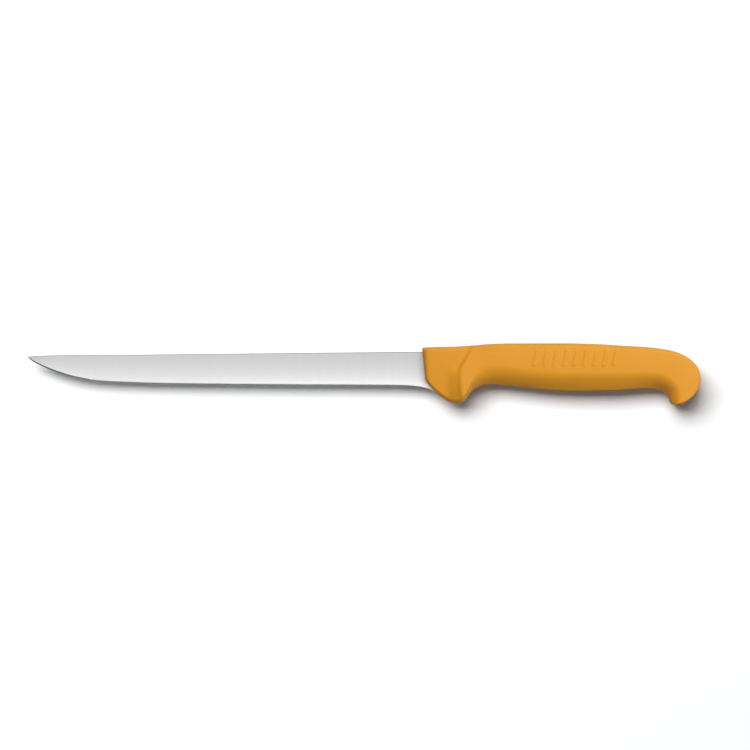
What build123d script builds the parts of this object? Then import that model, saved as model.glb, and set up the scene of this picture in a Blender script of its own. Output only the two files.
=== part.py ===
from build123d import *
import os
from math import cos, radians, sin, tan

# A fillet knife lying on its side: the blade points to -X, its spine faces +Y and its edge faces -Y.
# Lengths are millimetres and angles are degrees. Along the knife, places are measured from the front of the
# handle, and across it from the line of the blade's spine, with z = 0 on the middle plane. At the end the
# knife is moved so that the origin is under the middle of its length and depth, on the surface it lies on.

# Blade: a taper-ground stainless strip, thickest at the spine by the handle
blade_length = 200.3  # from the tip to the front of the handle
heel_depth = 17.1  # from the spine to the edge, at the heel
tip_drop = 2.7  # how far the tip lies below the spine line
stock_thickness = 1.4
tip_thickness = 0.66
ground_thickness = 0.12  # behind the edge, where the belly of the blade begins
edge_thickness = 0.03
bevel_angle = 12.0  # of each side of the sharpened edge
heel_flat = 7.0  # unsharpened run of the edge in front of the handle
heel_flare = 3.0  # how far the edge swings down behind that
shoulder_inset = 7.0  # how far the full depth of the blade runs into the handle
grind_inset = 6.0  # how far the taper grind runs into the handle

# Places of the spine between heel and tip: shares of the blade's length and of the tip's drop
spine_shares = ((0.44, 0.41), (0.87, 0.63))

# Places of the edge between tip and heel: shares of the blade's length and of the heel's depth
thinnest_share = (0.767, 0.9)  # where the taper grind leaves the blade thinnest
edge_shares = (
    (0.979, 0.36),
    (0.94, 0.552),
    (0.872, 0.776),
    thinnest_share,
    (0.565, 0.958),
    (0.3, 0.978),
)

# Tang: the narrow end of the same strip, hidden in the handle, with holes that the plastic fills
tang_length = 88.0
tang_depth = 10.0
tang_drop = 3.5  # below the spine line
anchor_hole = 5.0
anchor_holes = 3
anchor_pitch = 25.0
anchor_margin = 13.0  # from the end of the tang to the last hole's middle

# Handle: its outline seen from the side
handle_length = 140.6
crown_rise = 3.95  # highest line of the back, above the spine line
front_rise = 1.75  # back of the handle at its front face
front_drop = 14.6  # lower corner of the front face
front_rake = 1.75  # how far that corner lies behind the upper one
front_round = 0.8  # rounding of the front face's rim
guard_place = 17.8
guard_drop = 26.6
crease_place = 24.6  # where the crease between cheek and guard lip reaches the back
waist_place = 35.0
waist_drop = 16.8
belly_drop = 20.5  # lowest line of the grip
hook_length = 25.3  # from where the belly turns down into the hook to the end of the butt
hook_line = 18.85  # drop of the belly there
hook_radius = 11.2  # hollow of the hook, for the little finger
butt_line = 13.8  # drop of the middle of the round butt
butt_radius = 13.5

# Handle: its widths, each across both sides, and the rounding between its sides and its back and belly
front_width = 13.0
cheek_width = 18.4
lip_width = 21.1
waist_width = 18.8
palm_width = 20.4
neck_width = 18.6
butt_width = 20.0
back_round = 4.0  # measured down the side
back_inset = 6.2  # measured in from the side
belly_round = 9.8
belly_inset = 7.0
quarter_share = 0.5523  # reach of a quarter curve's handles, as a share of its radius
flank_shares = (0.35, 0.5)  # the same where the lower flank of the grip is kept flatter

# Raised bars on both sides of the grip
bar_height = 0.35
bar_width = 2.2
bar_length = 8.4
bar_pitch = 5.0
bar_count = 9
bar_slant = 15.0
bar_root = 3.0  # how deep each bar is rooted in the side
bars_place = 77.0  # middle of the row
bars_drop = 3.7

# Rings of the cheek, the flat-sided front of the handle. Foot: share of the way from the front face's lower
# corner to the guard's tip, along and down. Back: share of the crease's place, and of the way up from the
# front to the crown. Then share of the way from the front's width to the cheek's, and shares of the back's
# rounding and of the belly's.
cheek_shares = (
    (0.0, 0.0, 0.0, 0.0, 0.0, 0.52, 0.22),
    (0.16, 0.34, 0.18, 0.07, 0.2, 0.54, 0.28),
    (0.39, 0.625, 0.39, 0.115, 0.43, 0.57, 0.36),
    (0.67, 0.865, 0.61, 0.16, 0.66, 0.59, 0.6),
    (0.92, 0.985, 0.86, 0.28, 0.88, 0.62, 0.85),
    (1.15, 0.965, 1.1, 0.385, 1.0, 0.65, 0.85),
)

# Rings of the guard's lip and the hollow behind it. Foot: share of the way from the guard's tip to the
# waist, along and up. Back: share of the waist's place, and of the crown's rise. Then share of the way from
# the lip's width to the waist's, and shares of the back's rounding, down and in, and of the belly's.
lip_shares = (
    (-0.11, -0.08, 0.54, 0.595, 0.0, 1.6, 1.15, 0.2, 0.4),
    (0.09, 0.005, 0.66, 0.658, 0.0, 1.7, 1.15, 0.25, 0.5),
    (0.235, 0.2, 0.775, 0.747, 0.12, 1.6, 1.1, 0.31, 0.64),
    (0.385, 0.57, 0.89, 0.823, 0.38, 1.35, 1.05, 0.42, 0.8),
    (0.62, 0.885, 1.0, 0.886, 0.7, 1.1, 0.95, 0.72, 0.88),
    (1.0, 1.0, 1.143, 0.949, 0.95, 1.0, 0.9, 0.92, 0.92),
)

# Rings of the grip. Foot: share of the way from the waist to the hook, and share of the belly's drop. Back:
# the same way, and share of the crown's rise. Then share of the way from the narrower ends' width to the
# palm's, and shares of the back's rounding and of the belly's.
grip_shares = (
    (0.137, 0.851, 0.162, 1.0, 0.45, 0.97, 0.97),
    (0.31, 0.949, 0.31, 1.0, 0.97, 1.0, 1.0),
    (0.535, 1.0, 0.523, 0.962, 1.0, 1.0, 1.0),
    (0.747, 0.978, 0.722, 0.785, 0.95, 1.0, 0.96),
    (0.909, 0.929, 0.897, 0.544, 0.4, 0.97, 0.9),
    (1.0, 0.9195, 1.034, 0.342, 0.05, 1.05, 0.8),
)

# Rings of the hooked butt: where the foot lies round the hollow of the hook, and the back round the butt, in
# degrees. Then share of the way from the neck's width to the butt's, and shares of both roundings.
hook_turns = (20.0, 36.0, 49.0, 60.0, 68.5, 74.5)
butt_turns = (78.0, 47.0, 17.0, -12.0, -44.0, -82.0)
hook_shares = (
    (0.45, 1.3, 0.95, 0.57, 0.78),
    (0.8, 1.45, 1.0, 0.43, 0.72),
    (1.0, 1.5, 1.03, 0.35, 0.66),
    (0.95, 1.4, 1.0, 0.27, 0.58),
    (0.7, 0.9, 0.85, 0.2, 0.5),
    (0.4, 0.36, 0.56, 0.1, 0.42),
)

# Places of the crease, from above the back to below the guard: of the crease's place, of the guard's drop
crease_shares = (
    (1.08, -0.26),
    (1.0, -0.075),
    (0.894, 0.12),
    (0.768, 0.28),
    (0.703, 0.45),
    (0.72, 0.68),
    (0.768, 1.015),
    (0.785, 1.165),
)

overrun = 2.0  # how far a cutter reaches past what it cuts


def between(first, last, share):
    return first + (last - first) * share


def blade_outline():
    """The blank with its tang, and the edge that is sharpened, from tip to heel."""
    tip = Vector(-blade_length, -tip_drop)
    heel = Vector(-heel_flat, -heel_depth)
    corner = Vector(shoulder_inset, -heel_depth - heel_flare)
    shoulder = Vector(shoulder_inset, 0)
    spine_points = [Vector(-along * blade_length, -drop * tip_drop) for along, drop in spine_shares]
    edge_points = [Vector(-along * blade_length, -drop * heel_depth) for along, drop in edge_shares]
    spine = Spline(shoulder, *spine_points, tip)
    edge = Spline(tip, *edge_points, heel)
    flare = TangentArc(heel, corner, tangent=edge % 1)
    tang = Polyline(
        corner,
        (shoulder_inset, -tang_drop - tang_depth),
        (shoulder_inset + tang_length, -tang_drop - tang_depth),
        (shoulder_inset + tang_length, -tang_drop),
        (shoulder_inset, -tang_drop),
        shoulder,
    )
    return make_face(Wire([spine, edge, flare, *tang.edges()])), edge


def taper_grind():
    """What is ground off the upper side: all above the plane through spine heel, spine tip and thin edge."""
    along, drop = thinnest_share
    spine_heel = Vector(0, 0, stock_thickness / 2)
    spine_tip = Vector(-blade_length, -tip_drop, tip_thickness / 2)
    thin_edge = Vector(-along * blade_length, -drop * heel_depth, ground_thickness / 2)
    square_to = (spine_tip - spine_heel).cross(thin_edge - spine_heel)
    side = Plane(spine_heel, x_dir=spine_heel - spine_tip, z_dir=square_to)
    reach = grind_inset + blade_length + overrun
    depth = 2 * (heel_depth + heel_flare + overrun)
    waste = Box(reach, depth, stock_thickness, align=(Align.MAX, Align.CENTER, Align.MIN))
    return side * Pos(grind_inset, 0) * waste


def sharpening(edge):
    """What the sharpening takes off the upper side: a sloped strip along the edge, run out past the tip."""
    tip, way = edge @ 0, edge % 0
    lead = Line(tip - way * overrun, tip)
    start = Plane(lead @ 0, x_dir=Vector(0, 0, 1).cross(way), z_dir=way)
    inward = stock_thickness / 2 / tan(radians(bevel_angle))
    profile = Polyline(
        (inward, edge_thickness / 2 + stock_thickness / 2),
        (0, edge_thickness / 2),
        (-overrun, edge_thickness / 2),
        (-overrun, stock_thickness),
        (inward, stock_thickness),
        close=True,
    )
    return sweep(start * make_face(profile), Wire([lead, edge]))


def make_blade():
    outline, edge = blade_outline()
    last_hole = shoulder_inset + tang_length - anchor_margin
    tang_middle = -tang_drop - tang_depth / 2
    for number in range(anchor_holes):
        outline -= Pos(last_hole - number * anchor_pitch, tang_middle) * Circle(anchor_hole / 2)
    blank = extrude(outline, stock_thickness / 2, both=True)
    grind, bevel = taper_grind(), sharpening(edge)
    return blank - [grind, mirror(grind, Plane.XY), bevel, mirror(bevel, Plane.XY)]


def ring(foot, back, width, back_corner, foot_corner, foot_bend=(quarter_share, quarter_share)):
    """A cross-section of the handle: flat back, sides and foot, joined by quarter curves.

    foot and back are the ends of its middle line. Each corner is its size along the side and in from it."""
    height = (back - foot).length
    up = (back - foot).normalized()
    half = width / 2
    back_down, back_in = back_corner
    foot_up, foot_in = foot_corner
    along_bend, in_bend = foot_bend

    def at(climb, out):
        return foot + up * climb + Vector(0, 0, out)

    def flank(side):
        lower = Bezier(
            at(foot_up, side * half),
            at(foot_up * (1 - along_bend), side * half),
            at(0, side * (half - foot_in * (1 - in_bend))),
            at(0, side * (half - foot_in)),
        )
        upper = Bezier(
            at(height, side * (half - back_in)),
            at(height, side * (half - back_in * (1 - quarter_share))),
            at(height - back_down * (1 - quarter_share), side * half),
            at(height - back_down, side * half),
        )
        return [lower, Line(lower @ 0, upper @ 1), upper]

    left, right = flank(-1), flank(1)
    return Wire([Line(left[0] @ 1, right[0] @ 1), *right, Line(right[2] @ 0, left[2] @ 0), *left])


def make_cheek():
    """The flat-sided front, with a rounded rim to its front face. Its rear end is buried in the guard."""
    rings = []
    for along, down, back_along, rise, widen, back_share, foot_share in cheek_shares:
        foot = Vector(between(front_rake, guard_place, along), -between(front_drop, guard_drop, down))
        back = Vector(back_along * crease_place, between(front_rise, crown_rise, rise))
        width = between(front_width, cheek_width, widen)
        back_corner = back_share * back_round, back_share * back_inset
        foot_corner = foot_share * belly_round, foot_share * belly_inset
        rings.append(ring(foot, back, width, back_corner, foot_corner))
    cheek = Solid.make_loft(rings)
    front_rim = cheek.faces().sort_by(Axis.X)[0].outer_wire().edges()
    return fillet(front_rim, front_round)


def make_grip():
    """Guard lip, grip and hooked butt in one sweep of rings, cut off in front along the crease."""
    hook_start = handle_length - hook_length
    hook_middle = Vector(hook_start, -hook_line - hook_radius)
    butt_middle = Vector(handle_length - butt_radius, -butt_line)
    rings = []
    for along, up, back_along, rise, narrow, back_down, back_in, foot_up, foot_in in lip_shares:
        foot = Vector(between(guard_place, waist_place, along), -between(guard_drop, waist_drop, up))
        back = Vector(back_along * waist_place, rise * crown_rise)
        width = between(lip_width, waist_width, narrow)
        back_corner = back_down * back_round, back_in * back_inset
        foot_corner = foot_up * belly_round, foot_in * belly_inset
        rings.append(ring(foot, back, width, back_corner, foot_corner, flank_shares))
    for along, down, back_along, rise, widen, back_share, foot_share in grip_shares:
        foot = Vector(between(waist_place, hook_start, along), -down * belly_drop)
        back = Vector(between(waist_place, hook_start, back_along), rise * crown_rise)
        end_width = between(waist_width, neck_width, along)
        width = between(end_width, palm_width, widen)
        back_corner = back_share * back_round, back_share * back_inset
        foot_corner = foot_share * belly_round, foot_share * belly_inset
        rings.append(ring(foot, back, width, back_corner, foot_corner, flank_shares))
    for hook_turn, butt_turn, shares in zip(hook_turns, butt_turns, hook_shares):
        widen, back_down, back_in, foot_up, foot_in = shares
        foot = hook_middle + hook_radius * Vector(sin(radians(hook_turn)), cos(radians(hook_turn)))
        back = butt_middle + butt_radius * Vector(cos(radians(butt_turn)), sin(radians(butt_turn)))
        width = between(neck_width, butt_width, widen)
        back_corner = back_down * back_round, back_in * back_inset
        foot_corner = foot_up * belly_round, foot_in * belly_inset
        rings.append(ring(foot, back, width, back_corner, foot_corner, flank_shares))
    return Solid.make_loft(rings) - ahead_of_crease()


def ahead_of_crease():
    """Everything in front of the crease, where the grip gives way to the cheek."""
    points = [Vector(along * crease_place, -down * guard_drop) for along, down in crease_shares]
    front = -guard_place
    rest = Polyline(points[-1], (front, points[-1].Y), (front, points[0].Y), points[0])
    return extrude(make_face(Wire([Spline(*points), *rest.edges()])), lip_width, both=True)


def make_bars():
    """A row of slanted bars on each side, proud of the palm's flat sides."""
    lean = bar_length * tan(radians(bar_slant)) / 2
    outline = Polyline(
        (-bar_width / 2 - lean, -bar_length / 2),
        (bar_width / 2 - lean, -bar_length / 2),
        (bar_width / 2 + lean, bar_length / 2),
        (-bar_width / 2 + lean, bar_length / 2),
        close=True,
    )
    bar = extrude(make_face(outline), bar_root + bar_height)
    first = bars_place - bar_pitch * (bar_count - 1) / 2
    bars = []
    for number in range(bar_count):
        upper = Pos(first + number * bar_pitch, -bars_drop, palm_width / 2 - bar_root) * bar
        bars += [upper, mirror(upper, Plane.XY)]
    return bars


blade = make_blade()
handle = make_cheek() + make_grip() + make_bars() - blade

box = Compound([blade, handle]).bounding_box()
home = Pos(-box.center().X, -box.center().Y, -box.min.Z)

os.makedirs("parts", exist_ok=True)
export_step(home * blade, "parts/blade.step")
export_step(home * handle, "parts/handle.step")
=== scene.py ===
from math import cos, radians, sin, tan

import bpy
import numpy as np
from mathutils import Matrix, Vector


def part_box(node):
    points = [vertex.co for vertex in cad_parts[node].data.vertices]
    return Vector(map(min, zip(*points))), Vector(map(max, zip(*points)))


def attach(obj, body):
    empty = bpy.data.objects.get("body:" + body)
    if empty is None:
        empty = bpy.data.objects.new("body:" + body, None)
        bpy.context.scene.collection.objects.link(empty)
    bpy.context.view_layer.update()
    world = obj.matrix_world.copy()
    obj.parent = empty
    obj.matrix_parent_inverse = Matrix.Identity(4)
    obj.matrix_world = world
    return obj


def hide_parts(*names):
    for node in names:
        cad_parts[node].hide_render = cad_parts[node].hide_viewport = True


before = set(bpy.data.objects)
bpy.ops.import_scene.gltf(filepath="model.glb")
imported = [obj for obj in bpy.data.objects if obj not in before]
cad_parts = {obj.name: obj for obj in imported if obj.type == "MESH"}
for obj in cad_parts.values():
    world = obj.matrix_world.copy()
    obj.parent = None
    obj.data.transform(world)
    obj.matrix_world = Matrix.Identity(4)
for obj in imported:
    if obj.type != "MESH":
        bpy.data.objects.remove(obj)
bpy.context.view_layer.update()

# The blade: one strip of stainless spring steel, blanked out and hardened, then ground thinner from spine to
# edge and from handle to tip. The grind is very slightly hollow, its lines run from spine to edge, and a
# narrow bevel is sharpened along the edge last.
mm = 0.001
blade_length = 200.3 * mm
blade_low, blade_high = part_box("blade")
front = blade_low.x + blade_length  # where the handle begins
spine_line = blade_high.y
middle = (blade_low.z + blade_high.z) / 2

# Along from the front of the handle and up from the line of the spine, in millimetres
spine_places = ((12, -0.3), (-88, -1.3), (-174, -2.1), (-197, -2.7), (-200.2, -2.95))
edge_places = (
    (12, -22.5),
    (6, -20.3),
    (2, -18.85),
    (-1.5, -18.1),
    (-4, -17.75),
    (-7, -17.5),
    (-12, -17.3),
    (-24, -17.15),
    (-45, -17.05),
    (-66, -16.95),
    (-85, -16.78),
    (-113, -16.5),
    (-138, -16.1),
    (-153.6, -15.55),
    (-174.5, -13.55),
    (-188.3, -9.6),
    (-196, -6.15),
    (-199.2, -4.1),
    (-200.2, -3.25),
)
spine_half = 0.7 * mm  # half the thickness of the spine, at the handle
tip_half = 0.33 * mm
edge_half = 0.12 * mm  # half the thickness just behind the sharpened bevel
narrow_depth = 6 * mm  # where the tip is narrower than this, its edge stays thicker
narrow_gain = 0.3
hollow = 0.215 * mm  # how far the grind dips below flat, halfway down
hollow_depth = 14 * mm  # where the blade is narrower than this, the hollow is shallower
bevel_width = 0.25 * mm
belly_bevel = 0.65 * mm  # the bevel widens round the belly, up to the tip
belly_start = 168 * mm
belly_run = 20 * mm
cutting_half = 0.012 * mm
spine_easing = 0.35 * mm  # the spine's corners, taken off by the belt
most_bevel, most_easing = 0.4, 0.2  # of the depth, where the tip is too narrow for all of them
hidden_run = 9 * mm  # how far the blade is modelled into the handle


def through(knots, rows, places):
    """Rows of numbers on a smooth curve through the given rows, one for each knot, read at the places."""
    knots, rows, places = np.array(knots, float), np.array(rows, float), np.array(places, float)
    gap = np.diff(knots)
    slope = np.diff(rows, axis=0) / gap[:, None]
    system = np.diag(2 * (gap[:-1] + gap[1:])) + np.diag(gap[1:-1], 1) + np.diag(gap[1:-1], -1)
    bent = np.zeros_like(rows)
    bent[1:-1] = np.linalg.solve(system, 6 * np.diff(slope, axis=0))
    k = np.clip(np.searchsorted(knots, places) - 1, 0, len(gap) - 1)
    wide, past = gap[k][:, None], (places - knots[k])[:, None]
    left = wide - past
    curved = (bent[k] * left**3 + bent[k + 1] * past**3) / (6 * wide)
    from_here = (rows[k] / wide - bent[k] * wide / 6) * left
    from_next = (rows[k + 1] / wide - bent[k + 1] * wide / 6) * past
    return curved + from_here + from_next


def up_at(places, stations):
    """How far up a line through the places lies at each station, in metres."""
    rows = sorted(places)
    knots = [along * mm for along, _ in rows]
    return through(knots, [[up * mm] for _, up in rows], stations)[:, 0]


def both_sides(name, halves):
    """A closed mesh from half rings over the upper side, each from one parting line to the other, and
    their mirror image under the middle plane. Each end is closed across."""
    count, points, _ = halves.shape
    under = halves[:, -2:0:-1].copy()
    under[:, :, 2] = 2 * middle - under[:, :, 2]
    rings = np.concatenate([halves, under], axis=1)
    around = rings.shape[1]
    at = np.arange(count * around).reshape(count, around)
    ahead, beside = np.roll(at, -1, axis=1)[:-1], at[1:]
    quads = np.stack([at[:-1], beside, np.roll(beside, -1, axis=1), ahead], axis=-1).reshape(-1, 4)
    faces = [tuple(int(v) for v in face) for face in quads]
    for ring, turned in ((at[0], False), (at[-1], True)):
        for j in range(points - 1):
            low, high = -j % around, -j - 1
            face = [int(v) for v in (ring[j], ring[j + 1], ring[high], ring[low])]
            face = list(dict.fromkeys(face))
            faces.append(tuple(face[::-1] if turned else face))
    mesh = bpy.data.meshes.new(name)
    mesh.from_pydata(rings.reshape(-1, 3).tolist(), [], faces)
    mesh.update()
    mesh.shade_smooth()
    piece = bpy.data.objects.new(name, mesh)
    bpy.context.scene.collection.objects.link(piece)
    return piece


def blade_stations():
    """Places along the blade from inside the handle, crowding together towards the tip."""
    straight_end, curved_end, tip_end = -150 * mm, -190 * mm, -200.2 * mm
    crowding = 1.8
    straight = np.linspace(hidden_run, straight_end, 90)
    curved = np.linspace(straight_end, curved_end, 41)[1:]
    turn = np.linspace(0, 1, 26)[1:]
    tip = curved_end + (tip_end - curved_end) * (1 - (1 - turn) ** crowding)
    return np.concatenate([straight, curved, tip])


def blade_half_rings(stations):
    """The upper half of the blade's cross-sections, from the middle of the spine to the cutting edge."""
    corner_share = 0.003  # a point this close to each end of the ground face keeps its shading flat
    face_shares = [0, corner_share, *np.linspace(0, 1, 17)[1:-1], 1 - corner_share, 1]
    rings = []
    for along, top, bottom in zip(stations, up_at(spine_places, stations), up_at(edge_places, stations)):
        depth = top - bottom
        taper = np.clip(-along / blade_length, 0, 1)
        thick = spine_half + (tip_half - spine_half) * taper
        belly = np.clip((-along - belly_start) / belly_run, 0, 1)
        bevel = min(bevel_width + (belly_bevel - bevel_width) * belly, most_bevel * depth)
        easing = min(spine_easing, most_easing * depth)
        thin = edge_half + (thick - edge_half) * max(0, 1 - depth / narrow_depth) * narrow_gain
        down = [0, 0, 0, easing * 0.1, easing * 0.9]
        out = [0, (thick - easing) / 2, thick - easing, thick - easing * 0.9, thick - easing * 0.1]
        face_run = depth - easing - bevel
        most_sag = hollow * thick / spine_half * min(1, depth / hollow_depth)
        for share in face_shares:
            down.append(easing + share * face_run)
            out.append(thick + (thin - thick) * share - most_sag * 4 * share * (1 - share))
        for share in (0.15, 0.85, 1):
            down.append(depth - bevel * (1 - share))
            out.append(thin + (cutting_half - thin) * share)
        down.append(depth)
        out.append(0)
        rings.append([(front + along, spine_line + top - d, middle + o) for d, o in zip(down, out)])
    return np.array(rings)


stations = blade_stations()
blade_rings = blade_half_rings(stations)
blade = both_sides("ground_blade", blade_rings)

# Both corners of the spine's easing and the start of the bevel are crisp lines along the whole blade
half_ring = blade_rings.shape[1]
whole_ring = 2 * (half_ring - 1)
easing_begins, face_begins, bevel_begins = 2, 5, half_ring - 5  # points of a half ring
ends = np.zeros(len(blade.data.edges) * 2, int)
blade.data.edges.foreach_get("vertices", ends)
ends = ends.reshape(-1, 2) % whole_ring
ends = np.minimum(ends, whole_ring - ends)
on_line = np.isin(ends[:, 0], (easing_begins, face_begins, bevel_begins))
blade.data.edges.foreach_set("use_edge_sharp", on_line & (ends[:, 0] == ends[:, 1]))


class Nodes:
    """A material's node tree, with short calls to add a node and to join one to the shader."""

    def __init__(self, name):
        self.material = bpy.data.materials.new(name)
        self.material.use_nodes = True
        self.tree = self.material.node_tree
        self.shader = self.tree.nodes["Principled BSDF"]

    def add(self, kind, values=(), **settings):
        """A node with its settings and its inputs, each a plain value or another node's output."""
        node = self.tree.nodes.new(kind)
        for key, value in settings.items():
            setattr(node, key, value)
        for key, value in dict(values).items():
            if isinstance(value, bpy.types.NodeSocket):
                self.tree.links.new(value, node.inputs[key])
            else:
                node.inputs[key].default_value = value
        return node

    def noise(self, scale, detail, stretch=None):
        """Noise fixed to the object, which can be stretched: more waves a metre one way than another."""
        place = self.add("ShaderNodeNewGeometry").outputs["Position"]
        if stretch:
            place = self.add("ShaderNodeVectorMath", {0: place, 1: stretch}, operation="MULTIPLY").outputs[0]
        return self.add("ShaderNodeTexNoise", {"Vector": place, "Scale": scale, "Detail": detail}).outputs[0]

    def tint(self, share, darker, lighter):
        """The base colour, which wanders between two tints."""
        values = {0: share, 6: (*darker, 1), 7: (*lighter, 1)}
        mix = self.add("ShaderNodeMix", values, data_type="RGBA")
        self.link(mix.outputs[2], "Base Color")

    def roughness(self, share, least, most):
        """The roughness, which wanders between two values."""
        values = {"Value": share, "To Min": least, "To Max": most}
        self.link(self.add("ShaderNodeMapRange", values).outputs[0], "Roughness")

    def bump(self, height, strength, depth):
        """A texture too fine for the mesh."""
        values = {"Height": height, "Strength": strength, "Distance": depth}
        self.link(self.add("ShaderNodeBump", values).outputs[0], "Normal")

    def link(self, output, socket):
        """Joins an output to one of the shader's inputs."""
        self.tree.links.new(output, self.shader.inputs[socket])


def ground_steel(name, duller, brighter):
    """Satin stainless steel: fine grind lines from spine to edge, and streaks of brighter grinding. Given low
    tints, it also makes the darker copies that paint shade and a dark reflection.
    """
    steel = Nodes(name)
    steel.shader.inputs["Metallic"].default_value = 1
    steel.shader.inputs["Anisotropic"].default_value = 0.8
    streaks = steel.noise(1, 4, stretch=(700, 6, 6))
    lines = steel.noise(1, 3, stretch=(9000, 60, 60))
    steel.tint(streaks, (duller, duller, 1.01 * duller), (brighter, brighter, 1.005 * brighter))
    steel.roughness(streaks, 0.32, 0.37)
    steel.bump(lines, 0.25, 0.002 * mm)
    along = steel.add("ShaderNodeTangent", direction_type="UV_MAP", uv_map="along_blade")
    steel.link(along.outputs[0], "Tangent")
    return steel.material


def lay_out(piece, layer):
    """A flat map of the piece seen from above, so that its brushing has a direction."""
    mesh = piece.data
    corners = np.zeros(len(mesh.loops), int)
    mesh.loops.foreach_get("vertex_index", corners)
    points = np.zeros(len(mesh.vertices) * 3)
    mesh.vertices.foreach_get("co", points)
    flat = points.reshape(-1, 3)[corners][:, :2]
    mesh.uv_layers.new(name=layer).data.foreach_set("uv", flat.ravel())


lay_out(blade, "along_blade")
blade.data.materials.append(ground_steel("ground_steel", 0.545, 0.58))
# The spine's flat and its eased corners get a darker copy of the steel: painted shade along the spine.
blade.data.materials.append(ground_steel("spine_steel_painted_dark", 0.24, 0.29))
# The bevel and cutting edge round the belly and the tip get a near-black copy of the steel: a painted dark
# reflection, not a different finish.
blade.data.materials.append(ground_steel("bevel_steel_painted_dark", 0.05, 0.08))
ground, spine, painted_dark_bevel = 0, 1, 2
strip = np.arange(whole_ring)
strip = np.minimum(strip, whole_ring - 1 - strip)
# Which faces take the plain ground steel, and which the darker copies that paint shade on the spine and a
# dark reflection on the belly's bevel.
finish_and_painted_dark = np.full((len(stations) - 1, whole_ring), ground)
# painted shade on the spine's flat and eased corners
finish_and_painted_dark[:, strip < face_begins - 1] = spine
# painted dark reflection on the bevel and edge, from the belly to the tip
finish_and_painted_dark[np.ix_(stations[:-1] < -belly_start, strip >= bevel_begins)] = painted_dark_bevel
end_faces = np.full(len(blade.data.polygons) - finish_and_painted_dark.size, ground)
blade.data.polygons.foreach_set("material_index", np.concatenate([finish_and_painted_dark.ravel(), end_faces]))
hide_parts("blade")
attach(blade, "root")

# The handle: one polyamide moulding, shot round the tang in a two-part mould that opens square to the sides.
# It has a flat-sided cheek, a guard lip behind a scooped crease, a swelling grip with slanting lower flanks
# and a hooked butt. A fine ridge shows where the mould parts, and slanted bars stand out from both sides.
handle_rows = (  # each cross-section's foot and its back, seen from the side: along and up
    (1.35, -14.6, -0.35, 1.75),
    (2.6, -16.6, 1.9, 1.9),
    (4.4, -18.8, 4.4, 1.98),
    (8.3, -22.35, 9.3, 2.1),
    (12.6, -25.4, 13.8, 2.2),
    (15.7, -26.5, 17.4, 2.3),
    (17.7, -26.8, 19.6, 2.42),
    (19.5, -26.5, 21.6, 2.55),
    (21.3, -25.2, 23.9, 2.72),
    (22.9, -23.0, 26.2, 2.9),
    (24.6, -20.7, 28.6, 3.08),
    (27.3, -18.65, 31.9, 3.4),
    (30.5, -17.4, 35.5, 3.62),
    (35.0, -16.9, 40.3, 3.79),
    (42.1, -17.45, 47.8, 3.85),
    (51.7, -18.6, 57.8, 3.87),
    (68.2, -19.95, 74.6, 3.86),
    (88.5, -20.05, 94.8, 3.15),
    (100.2, -19.7, 106.3, 2.4),
    (108.9, -19.1, 114.6, 1.88),
    (115.3, -18.95, 121.0, 1.1),
    (119.3, -19.45, 129.9, -1.0),
    (122.2, -20.8, 135.75, -4.4),
    (124.2, -22.7, 139.4, -8.7),
    (124.9, -24.5, 140.45, -15.6),
    (125.6, -26.05, 137.1, -22.6),
    (126.3, -27.25, 131.0, -27.2),
)
grip_sections = (  # row; then half width, height of the lower flank, its tilt in degrees, and half the foot
    (0, 8.8, 2.4, 76, 6.0),
    (5, 8.8, 2.4, 76, 5.8),
    (7, 8.8, 3.4, 71, 4.8),
    (9, 8.9, 6.4, 63, 3.6),
    (11, 9.2, 9.4, 58, 2.9),
    (12, 9.5, 10.3, 57, 2.8),
    (13, 9.75, 10.3, 57, 2.8),
    (14, 9.9, 10.0, 56, 2.9),
    (15, 10.0, 9.6, 54, 3.0),
    (16, 10.1, 9.9, 47, 3.6),
    (17, 10.1, 9.8, 42, 4.2),
    (18, 9.95, 9.6, 42, 4.2),
    (19, 9.8, 9.2, 47, 3.7),
    (20, 9.8, 8.8, 53, 3.2),
    (21, 9.8, 8.2, 60, 2.7),
    (22, 9.8, 7.6, 60, 3.2),
    (23, 9.9, 6.9, 54, 4.8),
    (24, 10.0, 6.4, 50, 5.9),
    (25, 9.9, 5.0, 50, 6.5),
    (26, 9.6, 1.4, 60, 6.6),
)
cheek_sections = (  # the same, in front of the crease
    (0, 7.3, 2.0, 76, 4.8),
    (2, 7.5, 2.2, 76, 5.0),
    (4, 7.8, 2.4, 76, 5.4),
    (6, 8.1, 2.6, 76, 5.6),
    (9, 8.0, 4.4, 66, 4.4),
    (26, 8.0, 4.4, 66, 4.4),
)
crease = (  # up and along
    (-29.0, 20.2),
    (-23.6, 18.8),
    (-15.0, 18.1),
    (-10.5, 18.5),
    (-6.9, 20.7),
    (-2.9, 23.1),
    (0.9, 25.2),
    (5.0, 27.4),
)
crease_run = 1.9 * mm  # the run of the step up from cheek to grip, high on the side
scoop_rise = (  # low down, millimetres past the crease, and share of the step there
    (-7, 0),
    (-5.6, 0.06),
    (-3.8, 0.24),
    (-2, 0.47),
    (-0.2, 0.73),
    (0.9, 0.95),
    (1.6, 1),
    (3, 1),
)
scoop_top = -6.5 * mm  # where the crease begins to widen into the scoop
scoop_full = -12 * mm
cheek_sink = 2.4 * mm  # how far the cheek falls away towards its foot
sink_depth = 24 * mm
lip_height = 1.3 * mm  # how far the guard's lip swells out towards its foot
lip_depth = 25 * mm
lip_end = 22 * mm  # past the crease
side_tilt = 3.0  # degrees by which the crowned sides fall away towards foot and back
back_tilt = 3.0  # and the back towards the sides
back_round = 2.2 * mm  # the rounding between side and back, measured down the side
back_inset = 2.75 * mm  # the same, measured in from the side
foot_slope = 0.05  # rise of the foot towards the sides
ridge_height = 0.05 * mm
ridge_half = 0.14 * mm
corner_round = 0.8 * mm  # the front face's rim, seen from the side
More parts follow.
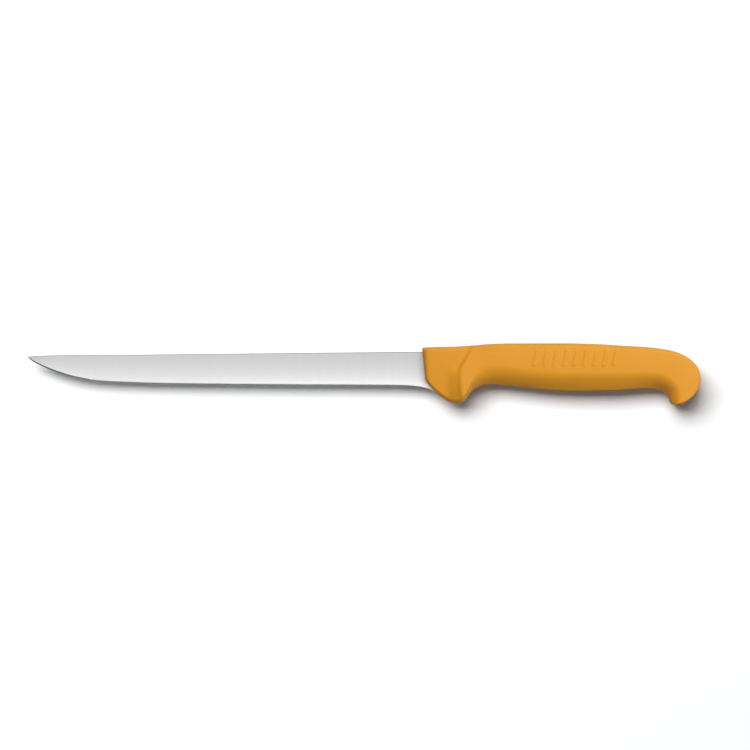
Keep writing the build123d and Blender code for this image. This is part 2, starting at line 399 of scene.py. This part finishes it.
front_round = 2.8 * mm  # the same rim across the width
beak_round = 0.9 * mm  # the end of the hook, seen from the side
beak_crown = 2.2 * mm  # the same end across the width

bar_height = 0.3 * mm
bar_half = 1.1 * mm
bar_half_length = 4.3 * mm
bar_corner = 0.5 * mm
bar_edge = 0.4 * mm
bar_pitch = 5.0 * mm
bar_count = 9
bar_slant = 15.0
bars_along, bars_up = 77.0 * mm, -3.7 * mm
flank_share, side_share = 0.6, 0.25  # of the half width: where the bars fade in, and over how much


def sweep(start, leave, end, arrive, early, late, steps):
    """Points of a curve that leaves start one way and reaches end another way. early and late say how far
    it keeps to each way, as shares of the distance. The end itself is left out."""
    start, end = np.array(start), np.array(end)
    reach = np.linalg.norm(end - start)
    first, second = start + early * reach * np.array(leave), end - late * reach * np.array(arrive)
    t = np.linspace(0, 1, steps, endpoint=False)[:, None]
    return (1 - t) ** 3 * start + 3 * (1 - t) ** 2 * t * first + 3 * (1 - t) * t**2 * second + t**3 * end


def half_section(height, half_width, foot_up, foot_tilt, foot_half):
    """Half a cross-section as (climb, out), from the parting ridge at the foot to the one at the back."""
    foot_turn, back_turn, side_turn = radians(foot_tilt), radians(back_tilt), radians(side_tilt)
    # At the end of the hook, foot and back share what height there is
    foot_up = min(foot_up, 0.5 * height)
    back_down = min(back_round, 0.4 * height)
    back_half = half_width - back_inset
    drop = (height - foot_up - back_down) / 2 * tan(side_turn)
    lower, upper = (foot_up, half_width - drop / 2), (height - back_down, half_width - drop / 2)
    foot_corner = (ridge_height + foot_slope * foot_half, foot_half)
    back_corner = (height - ridge_height - tan(back_turn) * back_half, back_half)
    outward, inward = (0.0, 1.0), (0.0, -1.0)
    foot_way, back_way = (cos(foot_turn), sin(foot_turn)), (sin(back_turn), -cos(back_turn))
    low_way, high_way = (cos(side_turn), sin(side_turn)), (cos(side_turn), -sin(side_turn))
    crest, beside = 0.45 * ridge_half, 1.5 * ridge_half
    section = np.concatenate(
        [
            [(0, 0), (0, crest), (ridge_height, ridge_half)],
            sweep((ridge_height, beside), outward, foot_corner, foot_way, 0.55, 0.3, 9),
            sweep(foot_corner, foot_way, lower, low_way, 0.5, 0.25, 26),
            sweep(lower, low_way, upper, high_way, 0.33, 0.33, 28),
            sweep(upper, high_way, back_corner, back_way, 0.39, 0.39, 16),
            sweep(back_corner, back_way, (height - ridge_height, beside), inward, 0.33, 0.33, 5),
            [(height - ridge_height, beside), (height - ridge_height, ridge_half)],
            [(height, crest), (height, 0)],
        ]
    )
    section[:, 0] = np.maximum.accumulate(section[:, 0])
    return section


def smooth_step(value):
    """From 0 to 1 as the value goes from 0 to 1, easing in and out, and level beyond."""
    value = np.clip(value, 0, 1)
    return value * value * (3 - 2 * value)


def past_crease(along, up):
    """How far a point lies behind the crease, towards the grip: negative on the cheek."""
    knots, rows = zip(*[(u * mm, [a * mm]) for u, a in crease])
    step = 0.1 * mm
    here = through(knots, rows, up)[:, 0]
    lean = (through(knots, rows, up + step)[:, 0] - here) / step
    return (along - here) / np.sqrt(1 + lean**2)


def step_up(past, up):
    """Share of the step from cheek to grip at a point: a narrow step high up, and a wide scoop low down."""
    low = smooth_step((scoop_top - up) / (scoop_top - scoop_full))
    knots, shares = zip(*[(p * mm, [share]) for p, share in scoop_rise])
    scoop = through(knots, shares, np.clip(past, knots[0], knots[-1]))[:, 0]
    narrow = smooth_step(1 + past / crease_run)
    return narrow + (scoop - narrow) * low


def lip_relief(past, up, rise):
    """How far the lip stands out behind the crease, less how far the cheek has sunk in front of it."""
    lip_start = scoop_rise[-1][0] * mm
    lip = lip_height * smooth_step((lip_end - past) / (lip_end - lip_start)) * smooth_step(-up / lip_depth)
    sink = cheek_sink * np.clip(-up / sink_depth, 0, 1)
    return lip * rise - sink * (1 - rise)


def bar_relief(along, up):
    """How far the bars raise the side at a point."""
    lean = tan(radians(bar_slant))
    over = (along - bars_along - (up - bars_up) * lean) * cos(radians(bar_slant))
    pitch = bar_pitch * cos(radians(bar_slant))
    most = (bar_count - 1) / 2
    over = over - pitch * np.clip(np.round(over / pitch), -most, most)
    across = np.abs(over) - (bar_half - bar_corner)
    lengthwise = np.abs(up - bars_up) / cos(radians(bar_slant)) - (bar_half_length - bar_corner)
    outside = np.hypot(np.maximum(across, 0), np.maximum(lengthwise, 0))
    inside = np.minimum(np.maximum(across, lengthwise), 0)
    return bar_height * smooth_step((bar_corner - outside - inside) / bar_edge)


def handle_places(length):
    """Places of the cross-sections along the middle of the handle, close together where there is detail."""
    turns = np.radians(np.linspace(0, 90, 13))
    places = list(front_round * (1 - np.cos(turns)))
    beak_rim = length - beak_crown * (1 - np.cos(turns[::-1]))
    here = front_round
    # Where each run ends and how long its steps are, in millimetres: finest over the crease and the bars
    for end, step in ((7, 0.8), (30, 0.4), (46, 0.8), (103, 0.36), (112, 0.7)):
        count = max(1, round((end * mm - here) / (step * mm)))
        places += list(np.linspace(here, end * mm, count + 1)[1:])
        here = end * mm
    count = round((beak_rim[0] - here) / (0.7 * mm))
    places += list(np.linspace(here, beak_rim[0], count + 1)[1:]) + list(beak_rim[1:])
    return np.array(places)


def rounded_off(distance, radius):
    """How far a round edge stands back at a distance from the end."""
    if distance >= radius:
        return 0
    return radius - (radius**2 - (radius - distance) ** 2) ** 0.5


def handle_half_rings():
    """The upper half of the handle's cross-sections, from the front face to the end of the hook."""
    rows = np.array(handle_rows) * mm
    centres = (rows[:, :2] + rows[:, 2:]) / 2
    knots = np.concatenate([[0], np.cumsum(np.linalg.norm(np.diff(centres, axis=0), axis=1))])
    places = handle_places(knots[-1])
    outline = through(knots, rows, places)
    turns = np.interp(places, knots, np.arange(len(knots)))
    profiles = []
    for table in (cheek_sections, grip_sections):
        table = np.array(table)
        profiles.append(through(table[:, 0], table[:, 1:] * (mm, mm, 1, mm), turns))
    rings = []
    for place, (foot_x, foot_y, back_x, back_y), cheek, grip in zip(places, outline, *profiles):
        behind, before = place, places[-1] - place
        inset = rounded_off(behind, corner_round) + rounded_off(before, beak_round)
        slimming = rounded_off(behind, front_round) + rounded_off(before, beak_crown)
        foot, back = np.array((foot_x, foot_y)), np.array((back_x, back_y))
        height = np.linalg.norm(back - foot)
        up = (back - foot) / height
        shapes = []
        for half_width, foot_up, foot_tilt, foot_half in (cheek, grip):
            shapes.append(
                half_section(
                    height - 2 * inset,
                    half_width - slimming,
                    foot_up - inset / 2,
                    foot_tilt,
                    foot_half - slimming / 2,
                )
            )
        on_cheek, on_grip = shapes
        flat = foot + up * (inset + (on_cheek + on_grip)[:, :1] / 2)
        past = past_crease(flat[:, 0], flat[:, 1])
        rise = step_up(past, flat[:, 1])
        shape = on_cheek + (on_grip - on_cheek) * rise[:, None]
        flat = foot + up * (inset + shape[:, :1])
        relief = lip_relief(past, flat[:, 1], rise)
        side = smooth_step((shape[:, 1] / grip[0] - flank_share) / side_share)
        out = shape[:, 1] * (1 + relief / grip[0]) + side * bar_relief(flat[:, 0], flat[:, 1])
        rings.append(np.column_stack([front + flat[:, 0], spine_line + flat[:, 1], middle + out]))
    return np.array(rings)


def moulded_plastic():
    """Dense polyamide, coloured through, with the fine spark-eroded texture of its mould."""
    plastic = Nodes("moulded_plastic")
    plastic.shader.inputs["Subsurface Weight"].default_value = 0.3
    plastic.shader.inputs["Subsurface Radius"].default_value = (1.0, 0.2, 0.05)
    plastic.shader.inputs["Subsurface Scale"].default_value = 2.0 * mm
    plastic.shader.inputs["Specular IOR Level"].default_value = 0.15
    clouds = plastic.noise(45, 3)
    grain = plastic.noise(4500, 2)
    plastic.tint(clouds, (0.71, 0.305, 0.020), (0.75, 0.333, 0.026))
    plastic.roughness(clouds, 0.46, 0.54)
    plastic.bump(grain, 0.3, 0.02 * mm)
    return plastic.material


handle = both_sides("moulded_handle", handle_half_rings())
handle.data.materials.append(moulded_plastic())
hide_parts("handle")
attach(handle, "root")

# The floor: a wide sheet of white board that the knife lies on. It is seen as paper white, also in the steel,
# but throws back less light than that, so that it doesn't fill in the shading under the handle.
floor_half = 3.0
board_white = (0.985, 0.993, 1.0, 1)
board_grey = (0.4, 0.4, 0.4, 1)  # as other things receive its light
board_glow = 0.04


def plainly_seen(tree):
    """1 for rays that see a thing, straight or by way of metal or glass, and 0 for rays that it lights."""
    path = tree.nodes.new("ShaderNodeLightPath")
    seen = path.outputs["Is Camera Ray"]
    for kind in ("Is Glossy Ray", "Is Transmission Ray"):
        either = tree.nodes.new("ShaderNodeMath")
        either.operation = "MAXIMUM"
        tree.links.new(seen, either.inputs[0])
        tree.links.new(path.outputs[kind], either.inputs[1])
        seen = either.outputs[0]
    return seen


floor_mesh = bpy.data.meshes.new("floor")
corners = [(x * floor_half, y * floor_half, 0) for x, y in ((-1, -1), (1, -1), (1, 1), (-1, 1))]
floor_mesh.from_pydata(corners, [], [(0, 1, 2, 3)])
floor = bpy.data.objects.new("floor", floor_mesh)
bpy.context.scene.collection.objects.link(floor)
board = Nodes("white_board")
seen = plainly_seen(board.tree)
white = board.add("ShaderNodeMix", {0: seen, 6: board_grey, 7: board_white}, data_type="RGBA")
glow = board.add("ShaderNodeMath", {0: seen, 1: board_glow}, operation="MULTIPLY")
board.link(white.outputs[2], "Base Color")
board.link(glow.outputs[0], "Emission Strength")
board.shader.inputs["Emission Color"].default_value = (1, 1, 1, 1)
board.shader.inputs["Roughness"].default_value = 1
board.shader.inputs["Specular IOR Level"].default_value = 0
floor.data.materials.append(board.material)

# The light: two large softboxes in a white room, which the steel reflects. One lights the knife alone, from
# the side of its spine and butt. The other lights the floor alone, from the side of its spine and tip, so
# that a soft shadow falls past the edge and the butt.
room_light = 0.08
world = bpy.data.worlds.new("white_room")
bpy.context.scene.world = world
world.use_nodes = True
room = world.node_tree
strength = room.nodes.new("ShaderNodeMapRange")
strength.inputs["To Min"].default_value = room_light
strength.inputs["To Max"].default_value = 1.0
room.links.new(plainly_seen(room), strength.inputs["Value"])
room.links.new(strength.outputs[0], room.nodes["Background"].inputs["Strength"])
room.nodes["Background"].inputs["Color"].default_value = (1, 1, 1, 1)


def softbox(name, width, depth, watts, place, leaves_out):
    """A softbox that faces straight down and doesn't light the things that it leaves out."""
    lamp = bpy.data.lights.new(name, "AREA")
    lamp.shape = "RECTANGLE"
    lamp.size = width
    lamp.size_y = depth
    lamp.energy = watts
    box = bpy.data.objects.new(name, lamp)
    bpy.context.scene.collection.objects.link(box)
    box.location = place
    box.visible_camera = False
    unlit = bpy.data.collections.new(name + "_leaves_out")
    for thing in leaves_out:
        unlit.objects.link(thing)
    box.light_linking.receiver_collection = unlit
    for link in unlit.collection_objects:
        link.light_linking.link_state = "EXCLUDE"


softbox("knife_softbox", 0.97, 0.69, watts=21.5, place=(0.485, 0.485, 1.15), leaves_out=[floor])
softbox("floor_softbox", 2.69, 1.88, watts=153, place=(-0.95, 1.386, 2.8), leaves_out=[handle, blade])

# The camera: straight above the middle of the picture and far off, so that the knife is seen square from its
# side, with the handle and the blade in one line.
picture_width = 380.0 * mm
picture_along, picture_up = -24.17 * mm, -12.2 * mm  # from the handle's front, and from the spine's line
lens, sensor = 200, 36
camera_data = bpy.data.cameras.new("camera")
camera_data.lens = lens
camera_data.sensor_width = sensor
camera = bpy.data.objects.new("camera", camera_data)
bpy.context.scene.collection.objects.link(camera)
distance = picture_width * lens / sensor
camera.location = (front + picture_along, spine_line + picture_up, middle + distance)
bpy.context.scene.camera = camera
bpy.context.scene.view_settings.view_transform = "Standard"
